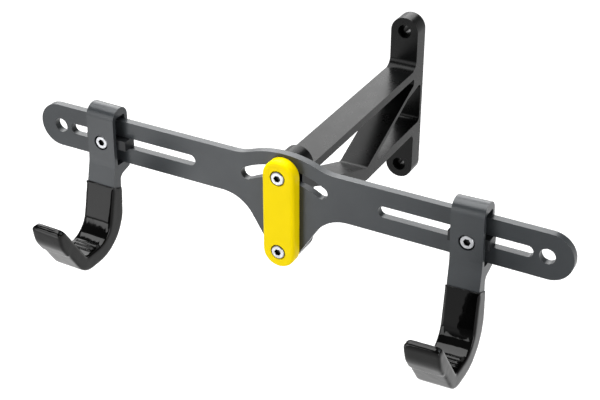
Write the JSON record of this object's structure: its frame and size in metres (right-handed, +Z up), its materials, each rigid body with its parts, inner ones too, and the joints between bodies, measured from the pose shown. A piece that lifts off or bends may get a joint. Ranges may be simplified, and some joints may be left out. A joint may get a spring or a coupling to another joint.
{
  "type": "bike wall mount",
  "caption": "Wall mount with an arm bracket, a tilting slotted crossbar under a yellow clamp plate, and two hooks with glossy sleeves that slide along the bar",
  "frame": {"origin": "midway between the two wall screw holes, on the wall face of the bracket", "axes": "+X along the crossbar to the right seen from the front, +Y into the wall, +Z up"},
  "size_m": [0.4408, 0.308, 0.15],
  "materials": {
    "bracket_metal": "satin anodised aluminium",
    "bar_metal": "satin powder coat",
    "hook_metal": "satin powder coat",
    "yellow_plate": "smooth satin yellow",
    "bright_steel": "zinc plated",
    "key_metal": "satin",
    "dark_plastic": "plain",
    "sleeve_rubber": "glossy dip-moulded sleeve"
  },
  "bodies": {
    "bracket_body": {"wall_bracket": "bracket_metal", "clamp_plate": "yellow_plate", "tilt_bolt": "bright_steel", "tilt_spacer": "dark_plastic", "pivot_bolt": "bright_steel", "pivot_bushing": "dark_plastic", "pivot_lock_nut": "bright_steel"},
    "bar_body": {"crossbar": "bar_metal"},
    "left_hook_body": {"left_hook": "hook_metal", "left_hook_sleeve": "sleeve_rubber", "left_hook_bolt": "bright_steel", "left_slot_key": "key_metal", "left_washer": "bright_steel", "left_lock_nut": "bright_steel"},
    "right_hook_body": {"right_hook": "hook_metal", "right_hook_sleeve": "sleeve_rubber", "right_hook_bolt": "bright_steel", "right_slot_key": "key_metal", "right_washer": "bright_steel", "right_lock_nut": "bright_steel"}
  },
  "joints": [
    {"name": "crossbar_tilt", "type": "hinge", "parent": "bracket_body", "child": "bar_body", "pos_m": [0, -0.2205, -0.0327], "axis": [0, 1, 0], "range_deg": [-29, 29]},
    {"name": "left_hook_slide", "type": "slide", "parent": "bar_body", "child": "left_hook_body", "axis": [1, 0, 0], "range_m": [-0.016, 0.055]},
    {"name": "right_hook_slide", "type": "slide", "parent": "bar_body", "child": "right_hook_body", "axis": [1, 0, 0], "range_m": [-0.051, 0.025]}
  ]
}
